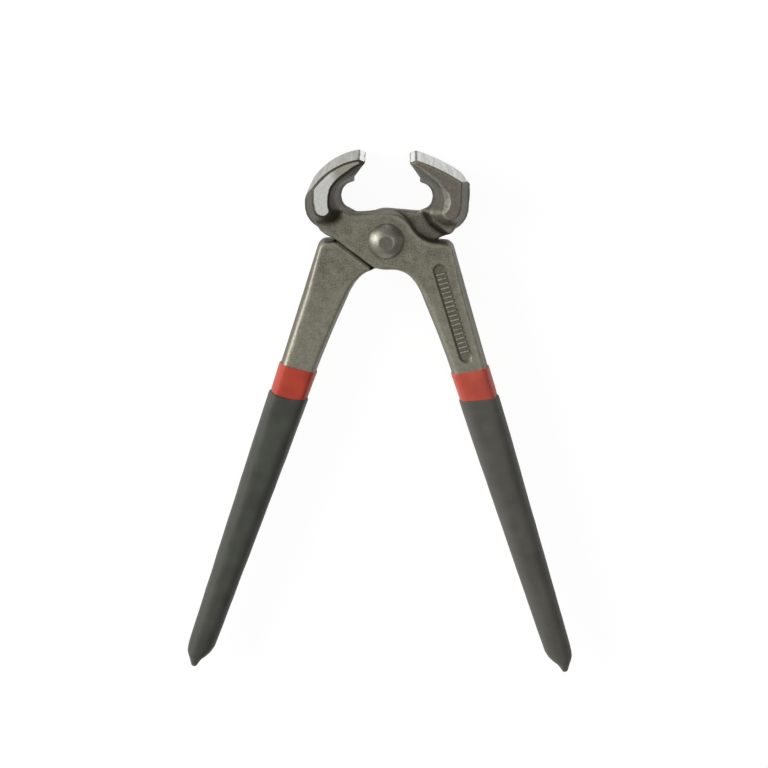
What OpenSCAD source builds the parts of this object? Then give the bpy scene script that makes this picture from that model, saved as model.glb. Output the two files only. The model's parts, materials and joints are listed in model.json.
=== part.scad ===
// End cutting nippers of the carpenter's pincer type, drawn open, lying on the flats of the jaws.
// Both levers are one forging, turned over for the second lever, and cross at a riveted lap joint.
// Each lever is first laid out closed, round the pivot at the origin, with its jaw to the left and
// its handle to the right, and z = 0 at the parting plane of the forging.

/* [Overall] */
// Height of the closed jaws above the pivot
head_len = 31; // [28:0.5:36]
// Distance from the pivot to the end of the grips, along the tool
handle_len = 169; // [150:1:220]
// Half the width over the closed jaws
jaw_reach = 25.3; // [23:0.1:28]
// Length of the cutting edges, along the pivot
jaw_w = 23; // [18:0.5:28]
// Thickness over the two halves of the joint
joint_t = 11; // [9:0.5:13]
// Angle between the levers from closed to fully open
open_angle = 29; // [16:1:30]

/* [Jaws] */
// How far the cutting edge lies below the top of the jaw
edge_drop = 1.6; // [1:0.1:2.2]
// Width of the outer bevel, across the tool
bevel_w = 2.1; // [1.5:0.1:3]
// Gap left between the two edges when closed
edge_gap = 0.1; // [0.05:0.01:0.3]
// Radius that the top of the front lever's jaw is ground to
front_grind_r = 24; // [22:0.5:32]
// Lean of that ground top at the bevel, towards the handles if negative
front_grind_lean = -5; // [-8:0.5:0]
// Radius that the top of the rear lever's jaw is ground to
rear_grind_r = 60; // [40:1:90]
// Lean of that ground top at the bevel
rear_grind_lean = 2; // [0:0.5:4]
// Width of the inner ground face, across the tool
inner_face_w = 5.3; // [4:0.1:6.5]
// Slope of the inner ground face below level
inner_face_slope = 44.4; // [40:0.5:50]
// Radius of the hollow behind the cutting edges
hollow_r = 4.9; // [4.2:0.1:5.4]
// Thickness of the flash line left at the parting plane
flash_t = 0.8; // [0.4:0.1:1.4]
// How far the flash line stands proud
flash_h = 0.5; // [0.2:0.1:0.8]

/* [Joint] */
// Radius of each half plate round the pivot
plate_r = 10.4; // [9.6:0.1:10.8]
// Distance of each half plate's straight back edge from the pivot
plate_back = 10.9; // [10.5:0.1:11.4]
// Radius of the pocket that the other lever's half plate turns in
pocket_r = 15.8; // [15:0.1:16.4]
// Draft of the pocket's wall at the neck
pocket_draft = 20; // [5:1:22]
// Gap between the faces of the two half plates
lap_gap = 0.06; // [0.02:0.01:0.2]
// Gap left at the stop when fully open
stop_gap = 0.2; // [0.1:0.05:0.6]
// Diameter of the rivet's shank
rivet_d = 7; // [5:0.1:8]
// Radial running clearance of the rivet in both levers
rivet_gap = 0.05; // [0.02:0.01:0.09]
// Diameter of the rivet's heads
rivet_head_d = 12.3; // [10:0.1:14]
// Height of the rivet's domed heads
rivet_dome = 3.3; // [2:0.1:4]
// Diameter of the flat left on each head by the setting punch
rivet_flat_d = 4.9; // [3:0.1:6]
// Height of the straight rim under each dome
rivet_rim = 0.4; // [0.2:0.1:0.8]
// Gap between a head and the plate under it
head_gap = 0.03; // [0.01:0.01:0.1]

/* [Handles] */
// Distance of the shoulder's top outer corner from the centre plane, closed
shoulder_x = 22.3; // [21:0.1:24]
// Height of the shoulder's corner below the pivot
shoulder_drop = 6.2; // [5.8:0.1:8]
// Outward lean of the handle's outer side when closed
handle_lean = 2.25; // [1:0.05:4]
// Width of the steel handle at the top of the dipped band
handle_w = 13.1; // [11:0.1:15]
// Extra width that the handle's inner side gains towards the crotch
root_swell = 3.6; // [0:0.1:5]
// Width of the steel handle near its end
handle_end_w = 7.9; // [6:0.1:10]
// Thickness of the steel handle at its end
handle_end_t = 7.8; // [6:0.1:9]
// Depth below the pivot at which the handle starts to thin
thin_from = 25; // [22:1:30]
// Draft of the forged handle sides
handle_draft = 13; // [5:1:15]
// Draft of the joint plate's edges
plate_draft = 3; // [1:1:8]
// Rounding of the forging's edges
edge_round = 0.8; // [0.3:0.1:1]

/* [Dipped grips] */
// Depth below the pivot at which the red band starts
band_top = 52; // [48:0.5:60]
// Length of red band that shows
band_len = 10.7; // [6:0.1:20]
// Thickness of the first, red dip
under_dip_t = 0.35; // [0.2:0.05:0.8]
// Thickness of the second, dark dip
grip_dip_t = 0.6; // [0.3:0.05:1]
// Gap between a dip and what it coats
bond_gap = 0.02; // [0.01:0.005:0.04]
// Length of the steel's tapered end
steel_end_len = 8; // [6:0.5:12]
// Length of the grip's tapered end, with its drip nub
nub_len = 9; // [8:0.5:10]
// Length of solid grip beyond the end of the steel
nub_fill = 6.8; // [6:0.1:7.6]

/* [Panel] */
// Length of the sunk panel in the handle's face
panel_len = 36.5; // [20:0.5:38]
// Width of the sunk panel
panel_w = 4.6; // [3:0.1:5.5]
// Depth of the sunk panel
panel_depth = 0.7; // [0.3:0.05:1]
// Distance of the panel's centre from the centre plane
panel_x = 16.5; // [16:0.1:17.5]
// Distance of the panel's centre below the pivot
panel_drop = 30.3; // [29:0.1:33]
// Lean of the panel from the centre plane
panel_lean = 3.4; // [0:0.1:6]
// Spacing of the raised ribs in the panel
rib_pitch = 1.7; // [1.2:0.1:3]
// Depth of a rib's top below the handle's face
rib_sink = 0.2; // [0.1:0.05:0.4]

/* [Hidden] */
steel = "#76726a";
rivet_steel = "#6c6962";
band_red = "#b8433a";
grip_dark = "#4c4e47";
overrun = head_len;
curve_steps = 6;
joint_half = joint_t / 2;
jaw_half = jaw_w / 2;
swing = open_angle / 2;
edge = [-edge_gap / 2, head_len - edge_drop];
bevel_corner = [edge.x - bevel_w, head_len];

function unit(a) = [cos(a), sin(a)];
function turned(p, a) = [p.x * cos(a) - p.y * sin(a), p.x * sin(a) + p.y * cos(a)];
function scaled(shares, size) = [for (s = shares) [s.x * size.x, s.y * size.y]];
function flat(lists) = [for (l = lists) each l];
function arc(centre, r, from, to, steps) =
    [for (i = [0:steps]) centre + r * unit(from + (to - from) * i / steps)];
function bezier(a, b, c, d, steps) =
    [for (i = [0:steps]) let (t = i / steps, s = 1 - t)
        s * s * s * a + 3 * s * s * t * b + 3 * s * t * t * c + t * t * t * d];
// A smooth closed curve through the points, with the same count of steps between each two
function smooth_loop(p, steps) =
    let (n = len(p))
    [for (i = [0:n - 1], k = [0:steps - 1])
        let (a = p[(i + n - 1) % n], b = p[i], c = p[(i + 1) % n], d = p[(i + 2) % n], t = k / steps)
        b + (t * (c - a) + t * t * (2 * a - 5 * b + 4 * c - d) + t * t * t * (3 * b - a - 3 * c + d)) / 2];
// Vectors that move the points of a closed anticlockwise outline so that its sides move out by 1
function side_normal(a, b) = let (v = b - a) [v.y, -v.x] / norm(v);
function outward(p) =
    let (n = len(p))
    [for (i = [0:n - 1])
        let (a = side_normal(p[(i + n - 1) % n], p[i]), b = side_normal(p[i], p[(i + 1) % n]))
        (a + b) / (1 + a * b)];
function grown(p, d) = let (out = outward(p)) [for (i = [0:len(p) - 1]) p[i] + d * out[i]];

// Triangles between stacked rings of n points
function ring_walls(n, ring_count) =
    [for (r = [0:ring_count - 2], i = [0:n - 1])
        let (j = (i + 1) % n, a = r * n + i, b = r * n + j)
        each [[a, b, b + n], [a, b + n, a + n]]];
function span(from, to) = from <= to ? [for (i = [from:to]) i] : [for (i = [from:-1:to]) i];
// Triangles that fill the outline of points a to b, in a strip that joins its two long sides
function strip(a, b) =
    [for (k = [0:floor((b - a - 1) / 2)])
        each [[a + k, a + k + 1, b - k], if (b - k > a + k + 2) [a + k + 1, b - k - 1, b - k]]];
function turned_over(faces, shift = 0) = [for (f = faces) [shift + f[2], shift + f[1], shift + f[0]]];
// A closed solid through stacked rings. The first and the last ring are flat.
module loft(rings) {
    n = len(rings[0]);
    ends = strip(0, n - 1);
    walls = ring_walls(n, len(rings));
    polyhedron(
        points = flat(rings),
        faces = concat(ends, turned_over(walls), turned_over(ends, (len(rings) - 1) * n))
    );
}

// Steel handle: its sides and half its thickness, by the depth below the pivot
steel_end = handle_len - nub_fill;
taper_from = steel_end - steel_end_len;
function outer_side(depth) = shoulder_x + (depth - shoulder_drop) * tan(handle_lean);
function steel_w(depth) =
    handle_w + (handle_end_w - handle_w) * (depth - band_top) / (taper_from - band_top)
    + root_swell * pow(max(0, 1 - depth / band_top), 2);
function inner_side(depth) = outer_side(depth) - steel_w(depth);
function half_t(depth) =
    joint_half - (joint_half - handle_end_t / 2) * max(0, depth - thin_from) / (steel_end - thin_from);
function draft_at(depth) =
    plate_draft + (handle_draft - plate_draft) * max(0, min(1, depth / thin_from));

// Tapered end of the steel, as shares of its length and of the width taken off either side
steel_end_shares = [[0.5, 0.08, 0.04], [0.81, 0.18, 0.11], [1, 0.3, 0.2]];
// Tapered end and drip nub of a grip, as shares of its length, of the width taken off either side
// and of the thickness that is left
nub_shares = [
    [0, 0, 0, 1], [0.25, 0.09, 0.005, 0.99], [0.45, 0.21, 0.03, 0.95], [0.6, 0.33, 0.1, 0.87],
    [0.7, 0.385, 0.16, 0.76], [0.8, 0.42, 0.21, 0.64], [0.89, 0.455, 0.265, 0.52],
    [0.95, 0.475, 0.29, 0.42], [0.985, 0.505, 0.325, 0.32], [1, 0.535, 0.365, 0.2],
];

// One row per cross section of the steel handle: depth, inner side, outer side
station_count = 12;
handle_depths = [for (i = [0:station_count]) thin_from + (taper_from - thin_from) * i / station_count];
handle_rows = concat(
    [for (d = handle_depths) [d, inner_side(d), outer_side(d)]],
    [for (s = steel_end_shares) [
        taper_from + s[0] * steel_end_len,
        inner_side(taper_from) + s[1] * handle_end_w,
        outer_side(taper_from) - s[2] * handle_end_w,
    ]]
);

// Inset and height of a rounded edge, from the parting plane up to the face, or carried on past it by
// a share of its last chamfer
level_count = 4;
round_share = [0.3, 0.7];
function edge_levels(half, draft, rounding, past_share = 0) =
    let (
        rise = half - rounding,
        lean = rise * tan(draft),
        chamfer = rounding * round_share,
        rest = rounding * [1, 1] - chamfer
    )
    [[0, 0], [lean, rise], [lean, rise] + chamfer, [lean, rise] + chamfer + (1 + past_share) * rest];

// Cross section of the handle between two sides, grown by a skin that rounds its edges by as much
function handle_ring(depth, inner, outer, half, skin) =
    let (
        levels = edge_levels(half, handle_draft, edge_round + skin),
        tall = 1 + skin / half,
        right = [for (l = levels) [outer + skin - l[0], l[1] * tall]],
        left = [for (l = levels) [inner - skin + l[0], l[1] * tall]],
        last = level_count - 1,
        half_ring = concat([for (i = span(0, last)) right[i]], [for (i = span(last, 0)) left[i]]),
        low_ring = concat([for (i = span(1, last)) left[i]], [for (i = span(last, 1)) right[i]])
    )
    concat([for (q = half_ring) [q.x, -depth, q.y]], [for (q = low_ring) [q.x, -depth, -q.y]]);

// Straight back edge of the half plate, and the stop edge that it meets when fully open
back_slope = 51.8;
back_run_share = 1.37;
back_foot = -plate_back * [sin(back_slope), cos(back_slope)];
back_head = back_foot - back_run_share * plate_back * [cos(back_slope), -sin(back_slope)];
stop_slope = back_slope - open_angle;
stop_dir = [cos(stop_slope), sin(stop_slope)];
stop_foot = (plate_back + stop_gap) * [sin(stop_slope), -cos(stop_slope)];

// Outline of a lever's joint plate and handle, anticlockwise from the shoulder
shoulder_slope = 18;
shoulder_run_share = 0.26;
shoulder_round = 1.2;
shoulder_pull_shares = [0.3, 0.4];
shoulder = [shoulder_x, -shoulder_drop];
shoulder_dir = [-cos(shoulder_slope), sin(shoulder_slope)];
shoulder_inner = shoulder + shoulder_run_share * shoulder_x * shoulder_dir;
disc_from = 16;
disc_step = 6;
disc_to = 82;
hollow_to = 205;
disc_start = plate_r * unit(disc_from);
disc_dir = [sin(disc_from), -cos(disc_from)];
hollow_shares = [-0.273, 0.558];
hollow = [hollow_shares.x * jaw_reach, hollow_shares.y * head_len];
neck_shares = [
    [-0.632, 0.613], [-0.751, 0.629], [-0.85, 0.565], [-0.893, 0.406], [-0.862, 0.29], [-0.798, 0.219],
];
crotch_from = 262;
crotch_start = plate_back * unit(crotch_from);
crotch_end = [handle_rows[0][1], -handle_rows[0][0]];
crotch_shares = [[0.37, -1.055], [0.64, -1.51]];
plate_part = flat([
    bezier(shoulder_inner, shoulder_inner + shoulder_pull_shares[0] * plate_r * shoulder_dir,
        disc_start + shoulder_pull_shares[1] * plate_r * disc_dir, disc_start, curve_steps),
    arc([0, 0], plate_r, disc_from + disc_step, disc_to, 2 * curve_steps),
    arc(hollow, hollow_r + flash_h, crotch_from, hollow_to, curve_steps),
    scaled(neck_shares, [jaw_reach, head_len]),
    [back_head],
    arc([0, 0], plate_back, 270 - back_slope, crotch_from, curve_steps),
    [for (i = [1:curve_steps])
        bezier(crotch_start, plate_back * crotch_shares[0], plate_back * crotch_shares[1],
            crotch_end, curve_steps)[i]],
]);
inner_part = [for (i = span(1, len(handle_rows) - 1)) [handle_rows[i][1], -handle_rows[i][0]]];
outer_part = [for (i = span(len(handle_rows) - 1, 0)) [handle_rows[i][2], -handle_rows[i][0]]];
corner_start = [outer_side(shoulder_drop + shoulder_round), -shoulder_drop - shoulder_round];
corner_part = concat(
    [(2 * corner_start + outer_part[len(outer_part) - 1]) / 3],
    [corner_start, shoulder + shoulder_round * shoulder_dir]
);
web_outline = concat(plate_part, inner_part, outer_part, corner_part);
crotch_at = len(plate_part) - 1;
outer_at = crotch_at + 1 + len(inner_part);
bend_at = outer_at + len(outer_part) - 1;

// One level of the web, inset from its outline. The handle's sides are inset straight across the
// tool, as in handle_ring. The last level lies past the face.
past_face_share = 0.3;
past_face = past_face_share * (edge_round - edge_round * round_share.y);
function web_ring(level, side) =
    let (out = outward(web_outline))
    [for (i = [0:len(web_outline) - 1])
        let (
            p = web_outline[i],
            way = i < crotch_at || i > bend_at ? out[i] : i < outer_at ? [-1, 0] : [1, 0],
            l = edge_levels(half_t(-p.y), draft_at(-p.y), edge_round, past_face_share)[level],
            q = p - l[0] * way
        )
        [q.x, q.y, side * l[1]]];

// Joint plate, shoulder and handle of one lever at full thickness, as a closed solid that reaches
// past both faces. Its ends are triangles round a hub at the plate and strips along the handle.
hub_shares = [0.45, -0.65];
module web_block() {
    rings = concat([for (k = span(level_count - 1, 1)) web_ring(k, -1)],
        [for (k = span(0, level_count - 1)) web_ring(k, 1)]);
    n = len(web_outline);
    top = (len(rings) - 1) * n;
    hub = plate_r * hub_shares;
    low_hub = len(rings) * n;
    rim = concat(span(0, crotch_at), span(bend_at, n - 1));
    rim_sides = [for (i = [0:len(rim) - 1]) [rim[i], rim[(i + 1) % len(rim)]]];
    handle_face = strip(crotch_at, bend_at);
    hub_z = joint_half + past_face;
    polyhedron(
        points = concat(flat(rings), [for (side = [-1, 1]) [hub.x, hub.y, side * hub_z]]),
        faces = concat(
            [for (e = rim_sides) [low_hub, e[0], e[1]]],
            [for (e = rim_sides) [low_hub + 1, top + e[1], top + e[0]]],
            handle_face,
            turned_over(handle_face, top),
            turned_over(ring_walls(n, len(rings)))
        )
    );
}

// Side view of the forging: level faces down to thin_from, then faces that slope towards the end
module web() {
    foot = steel_end + overrun;
    face = [[overrun, joint_half], [-thin_from, joint_half], [-foot, half_t(foot)]];
    back = [for (i = span(len(face) - 1, 0)) [face[i].x, -face[i].y]];
    intersection() {
        web_block();
        translate([-overrun - shoulder_x, 0, 0]) rotate([90, 0, 90])
            linear_extrude(2 * (overrun + shoulder_x)) polygon(concat(face, back));
    }
}

// Jaw block: its outline at the parting plane and at the ground flats, through matching points
root_shares = [
    [-0.44, 0.3], [-0.346, 0.394], [-0.447, 0.458], [-0.486, 0.558], [-0.447, 0.658], [-0.355, 0.716],
    [-0.245, 0.728], [-0.16, 0.74], [-0.02, 0.77], [0.08, 0.87], [0.08, 1.07], [-0.45, 1.08],
    [-0.84, 0.96], [-0.915, 0.815], [-0.965, 0.66], [-0.995, 0.523], [-0.965, 0.4], [-0.855, 0.3],
    [-0.62, 0.24],
];
flat_shares = [
    [-0.652, 0.481], [-0.628, 0.523], [-0.636, 0.565], [-0.617, 0.626], [-0.577, 0.706], [-0.522, 0.774],
    [-0.427, 0.83], [-0.308, 0.874], [-0.14, 0.93], [0.06, 0.945], [0.06, 1.05], [-0.45, 1.04],
    [-0.75, 0.935], [-0.78, 0.84], [-0.83, 0.694], [-0.85, 0.565], [-0.826, 0.497], [-0.775, 0.468],
    [-0.711, 0.458],
];
block_steps = 3;
root_outline = smooth_loop(scaled(root_shares, [jaw_reach - flash_h, head_len]), block_steps);
flat_outline = smooth_loop(scaled(flat_shares, [jaw_reach, head_len]), block_steps);

module jaw_block() {
    loft([
        [for (p = flat_outline) [p.x, p.y, -jaw_half]],
        [for (p = root_outline) [p.x, p.y, 0]],
        [for (p = flat_outline) [p.x, p.y, jaw_half]],
    ]);
    translate([0, 0, -flash_t / 2]) linear_extrude(flash_t) polygon(grown(root_outline, flash_h));
}

// Outline left when the jaw's top, its outer bevel and its inner face are ground
module ground_profile(grind_r, lean) {
    notch_share = [0.1, 0.36];
    notch = edge - inner_face_w * [1, tan(inner_face_slope)];
    notch_foot = notch - inner_face_w * notch_share;
    above = bevel_corner.y + overrun;
    difference() {
        translate(bevel_corner - grind_r * unit(90 + lean)) circle(r = grind_r, $fn = 180);
        polygon([edge, [overrun, edge.y], [overrun, above], [bevel_corner.x, above], bevel_corner]);
        polygon([edge, notch, notch_foot, [overrun, notch_foot.y], [overrun, edge.y]]);
    }
}

// Room for the other lever's half plate, from closed to fully open
pocket_from = 92;
flare_from = 144;
flare_dir = [-0.93, -0.36];
module pocket() {
    polygon(concat(arc([0, 0], pocket_r, pocket_from, flare_from, 2 * curve_steps), [
        pocket_r * unit(flare_from) + overrun * flare_dir,
        [-overrun, -overrun / 2],
        stop_foot - overrun / 2 * stop_dir,
        stop_foot + overrun * stop_dir,
        [overrun, pocket_r],
    ]));
}

// The pocket's wall leans back at the neck: first a cone's sector, then a wedge along the flare
function pocket_sector(r, z) =
    [for (p = concat([[0, 0]], arc([0, 0], r, pocket_from, flare_from, 2 * curve_steps))) [p.x, p.y, z]];
module pocket_slope() {
    lean = overrun * tan(pocket_draft);
    floor_z = lap_gap / 2;
    start = pocket_r * unit(flare_from);
    back = pocket_r / 4;
    loft([pocket_sector(pocket_r + lean, floor_z - overrun), pocket_sector(pocket_r, floor_z)]);
    translate([start.x, start.y, floor_z]) rotate([0, 0, atan2(flare_dir.y, flare_dir.x)])
        rotate([90, 0, 90]) translate([0, 0, -back]) linear_extrude(overrun)
            polygon([[0, 0], [-lean, -overrun], [back, -overrun], [back, 0]]);
}

// Sunk panel in the handle's face, with plain raised ribs
face_slope = atan((joint_half - handle_end_t / 2) / (steel_end - thin_from));
module panel_shape() {
    straight = panel_len - panel_w;
    square([panel_w, straight], center = true);
    for (s = [-1, 1]) translate([0, s * straight / 2]) circle(d = panel_w);
}
module panel_cut() {
    rib_count = floor((panel_len - panel_w) / rib_pitch);
    rib_shares = [0.78, 0.5];
    translate([panel_x, -panel_drop, half_t(panel_drop)]) rotate([face_slope, 0, 0]) rotate(panel_lean) {
        translate([0, 0, -rib_sink]) linear_extrude(overrun) panel_shape();
        translate([0, 0, -panel_depth]) linear_extrude(overrun) difference() {
            panel_shape();
            for (i = [0:rib_count - 1]) translate([0, (i - (rib_count - 1) / 2) * rib_pitch])
                square([panel_w * rib_shares.x, rib_pitch * rib_shares.y], center = true);
        }
    }
}

// One whole forging, in the closed position
module forging(grind_r, lean) {
    difference() {
        union() {
            web();
            intersection() {
                jaw_block();
                translate([0, 0, -overrun]) linear_extrude(2 * overrun) ground_profile(grind_r, lean);
            }
        }
        translate([0, 0, lap_gap / 2 - overrun]) linear_extrude(overrun) pocket();
        pocket_slope();
        translate([0, 0, -overrun]) cylinder(r = rivet_d / 2 + rivet_gap, h = 2 * overrun, $fn = 64);
        panel_cut();
    }
}

// Cross sections of a dip over the steel, from a depth to past the steel's end
function dip_rings(from, skin) =
    let (last = handle_rows[len(handle_rows) - 1])
    concat(
        [handle_ring(from, inner_side(from), outer_side(from), half_t(from), skin)],
        [for (r = handle_rows) if (r[0] > from + edge_round)
            handle_ring(r[0], r[1], r[2], half_t(r[0]), skin)],
        [handle_ring(last[0] + skin, last[1], last[2], half_t(last[0]), skin)]
    );
// Cross sections of the outer dip, down to its drip nub
function grip_rings(from, skin) =
    let (
        start = handle_len - nub_len,
        base = handle_ring(start, inner_side(start), outer_side(start), half_t(start), skin),
        side = inner_side(start) - skin,
        wide = steel_w(start) + 2 * skin
    )
    concat(
        [handle_ring(from, inner_side(from), outer_side(from), half_t(from), skin)],
        [for (d = handle_depths) if (d > from + edge_round && d < start - edge_round)
            handle_ring(d, inner_side(d), outer_side(d), half_t(d), skin)],
        [for (s = nub_shares) [for (q = base) [
            side + s[1] * wide + (q.x - side) * (1 - s[1] - s[2]),
            -start - s[0] * nub_len,
            q.z * s[3],
        ]]]
    );
outer_skin = under_dip_t + grip_dip_t;
grip_top = band_top + band_len;
module under_dip() {
    difference() {
        loft(dip_rings(band_top, under_dip_t));
        loft(dip_rings(band_top - edge_round, bond_gap));
    }
}
module grip() {
    difference() {
        loft(grip_rings(grip_top, outer_skin));
        loft(dip_rings(grip_top - edge_round, under_dip_t + bond_gap));
    }
}

// Height of the pivot that centres the open tool over the origin
tip_rings = grip_rings(grip_top, outer_skin);
lowest = min([for (r = tip_rings, q = r) turned(q, swing).y]);
highest = turned(bevel_corner, swing).y;
pivot_y = -(highest + lowest) / 2;
module front_place() {
    translate([0, pivot_y, jaw_half]) rotate(swing) children();
}
module rear_place() {
    translate([0, pivot_y, jaw_half]) rotate(-swing) rotate([0, 180, 0]) children();
}

module front_lever() {
    color(steel) front_place() forging(front_grind_r, front_grind_lean);
}
module rear_lever() {
    color(steel) rear_place() forging(rear_grind_r, rear_grind_lean);
}
module front_under_dip() {
    color(band_red) front_place() under_dip();
}
module rear_under_dip() {
    color(band_red) rear_place() under_dip();
}
module front_grip() {
    color(grip_dark) front_place() grip();
}
module rear_grip() {
    color(grip_dark) rear_place() grip();
}

// Domed head with its punched flat, standing on z = 0
module rivet_head() {
    rise = rivet_dome - rivet_rim;
    centre = (pow(rivet_flat_d / 2, 2) + pow(rise, 2) - pow(rivet_head_d / 2, 2)) / (2 * rise);
    dome_r = norm([rivet_head_d / 2, centre]);
    intersection() {
        cylinder(d = rivet_head_d, h = rivet_dome, $fn = 64);
        translate([0, 0, rivet_rim + centre]) sphere(r = dome_r, $fn = 96);
    }
}
module pivot_rivet() {
    seat = joint_half + head_gap;
    color(rivet_steel) front_place() {
        translate([0, 0, -seat]) cylinder(d = rivet_d, h = 2 * seat, $fn = 64);
        for (side = [0, 180]) rotate([side, 0, 0]) translate([0, 0, seat]) rivet_head();
    }
}

front_lever();
rear_lever();
pivot_rivet();
front_under_dip();
rear_under_dip();
front_grip();
rear_grip();
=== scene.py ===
# %% [markdown]
# The tool is a pair of carpenter's pincers: two steel forgings that cross at a riveted lap joint, with
# handles dipped in soft plastic. The solid parts come packed from the CAD model as a fixed frame. This
# script gives them the look of the real tool: softened forged edges, freshly ground jaws, a dipped skin
# and a hammered rivet.

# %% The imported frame
import json
import math

import bmesh
import bpy
import numpy as np
from mathutils import Matrix, Vector, noise
from mathutils.bvhtree import BVHTree


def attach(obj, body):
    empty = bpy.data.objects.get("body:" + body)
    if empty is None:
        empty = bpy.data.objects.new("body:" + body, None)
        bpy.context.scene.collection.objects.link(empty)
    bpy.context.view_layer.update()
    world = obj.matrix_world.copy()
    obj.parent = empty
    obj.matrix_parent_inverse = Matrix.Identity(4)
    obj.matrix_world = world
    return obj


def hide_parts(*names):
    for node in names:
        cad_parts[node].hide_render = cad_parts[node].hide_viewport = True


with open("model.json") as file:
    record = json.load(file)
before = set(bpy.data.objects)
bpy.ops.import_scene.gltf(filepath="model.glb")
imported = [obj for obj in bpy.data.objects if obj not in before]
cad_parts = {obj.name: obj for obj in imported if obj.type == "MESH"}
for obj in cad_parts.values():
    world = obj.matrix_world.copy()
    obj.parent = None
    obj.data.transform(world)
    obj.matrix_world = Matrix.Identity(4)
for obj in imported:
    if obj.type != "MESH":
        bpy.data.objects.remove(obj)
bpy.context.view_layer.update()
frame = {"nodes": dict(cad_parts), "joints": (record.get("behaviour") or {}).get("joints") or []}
joint = frame["joints"][0]
pivot = Vector(joint["pos_m"])
swing = math.radians(joint["range_deg"][1]) / 2
print("pivot at", tuple(round(c, 5) for c in pivot), "each lever swings", round(math.degrees(swing), 2))

# %% [markdown]
# Sizes are real sizes. One unit turns millimetres to the metres that Blender works in. Each lever is laid
# out closed, round the pivot, and one matrix for each lever puts it where it is in the open tool. The rear
# lever is the same forging turned over. Depths are counted from the pivot down the handle.

# %% Units and places
MM = 0.001


def mm(*values):
    return Vector([v * MM for v in values])


PLACE = {
    "front": Matrix.Translation(pivot) @ Matrix.Rotation(swing, 4, "Z"),
    "rear": Matrix.Translation(pivot) @ Matrix.Rotation(-swing, 4, "Z") @ Matrix.Rotation(math.pi, 4, "Y"),
}

# %% [markdown]
# The photograph was taken from a little above the jaws with a long lens. The camera is set from three
# facts: how far away it stands, how many millimetres a pixel covers at the tool, and how the view tilts
# and rolls. It could be placed by eye, but these facts can each be measured, and don't pull at each other.

# %% Camera
VIEW_DISTANCE = 1060 * MM
FRAME_PIXELS = 768
PIXEL_SIZE = 0.352 * MM
VIEW_TILT = math.radians(13.5)
VIEW_ROLL = math.radians(0.9)
VIEW_AIM = pivot + mm(0.0, -52.11, 0)
SENSOR_WIDTH = 36

camera_data = bpy.data.cameras.new("camera")
camera_data.sensor_width = SENSOR_WIDTH
camera_data.lens = SENSOR_WIDTH * VIEW_DISTANCE / (PIXEL_SIZE * FRAME_PIXELS)
camera_data.clip_start = VIEW_DISTANCE / 50
camera = bpy.data.objects.new("camera", camera_data)
camera.matrix_world = (
    Matrix.Translation(VIEW_AIM)
    @ Matrix.Rotation(-VIEW_TILT, 4, "X")
    @ Matrix.Rotation(VIEW_ROLL, 4, "Z")
    @ Matrix.Translation((0, 0, VIEW_DISTANCE))
)
bpy.context.scene.collection.objects.link(camera)
bpy.context.scene.camera = camera
bpy.context.scene.view_settings.view_transform = "Standard"
stand = camera.matrix_world.translation
print("lens", round(camera_data.lens, 1), "mm at", tuple(round(c, 3) for c in stand))

# %% [markdown]
# Colours are written as they look on a screen, in hex. Shaders need them linear, so one function turns
# them. One more function adds a shader node with its settings and its inputs, and every material below is
# made with it. The same nodes could be drawn by hand in the editor, but written down they can be read and
# made again.

# %% Colour and shader helpers
SOCKET = bpy.types.NodeSocket
NOISE_LOW, NOISE_HIGH = 0.3, 0.7    # nearly all of a noise's values lie between these


def linear(hex_colour):
    parts = [int(hex_colour[i : i + 2], 16) / 255 for i in (1, 3, 5)]
    return [c / 12.92 if c <= 0.04045 else ((c + 0.055) / 1.055) ** 2.4 for c in parts] + [1.0]


def add(tree, kind, inputs=None, stops=(), **settings):
    """Adds a node: inputs are values or sockets to link, stops are a colour ramp's places and colours."""
    made = tree.nodes.new(kind)
    for name, value in settings.items():
        setattr(made, name, value)
    for i, (position, colour) in enumerate(stops):
        made.color_ramp.elements[i].position = position
        made.color_ramp.elements[i].color = linear(colour)
    for name, value in (inputs or {}).items():
        if isinstance(value, SOCKET):
            tree.links.new(value, made.inputs[name])
        else:
            made.inputs[name].default_value = value
    return made


def new_material(name):
    material = bpy.data.materials.new(name)
    material.use_nodes = True
    material.node_tree.nodes.clear()
    return material, material.node_tree


# %% [markdown]
# The forged surface is shot-blasted and oiled: a warm grey skin of fine dents that scatter the light in
# grains. The steep walls are painted darker, as painted shade, since they take little light. The hollows
# and the corners between parts are painted darker too, partly as painted shade and partly as oil and dirt.
# Handling wears the ridges bright, and the handles are lighter than the head. Four values stored on the
# mesh tell the material where the ridges, the hollows, the shaded and dirty corners and the scale are.
# An image of steel could be laid on instead, but it would smear round the corners: a noise in the object's
# own coordinates has no seam. The real grit is about 0.3 mm, and it is drawn a little coarser so that it
# shows.

# %% Shot-blasted forged steel
GRIT = 0.5 * MM
PIT = 1.5 * MM
BLOTCH = 2.6 * MM
GRIT_DEPTH = 0.07 * MM
PIT_DEPTH = 0.16 * MM
BLOTCH_SHARE = 0.45
WALL_SLOPE = (0.2, 0.8)     # how level a face is, from a full wall to an open face
# the painted shade on steep walls: how dark a full wall is painted
WALL_SHADE_SHARE = 0.72
HANDLED_RUN = (8, 30)       # depths between which the handle turns lighter
HANDLED_SHARE = 0.35
WORN_SHARE = 0.3


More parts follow.
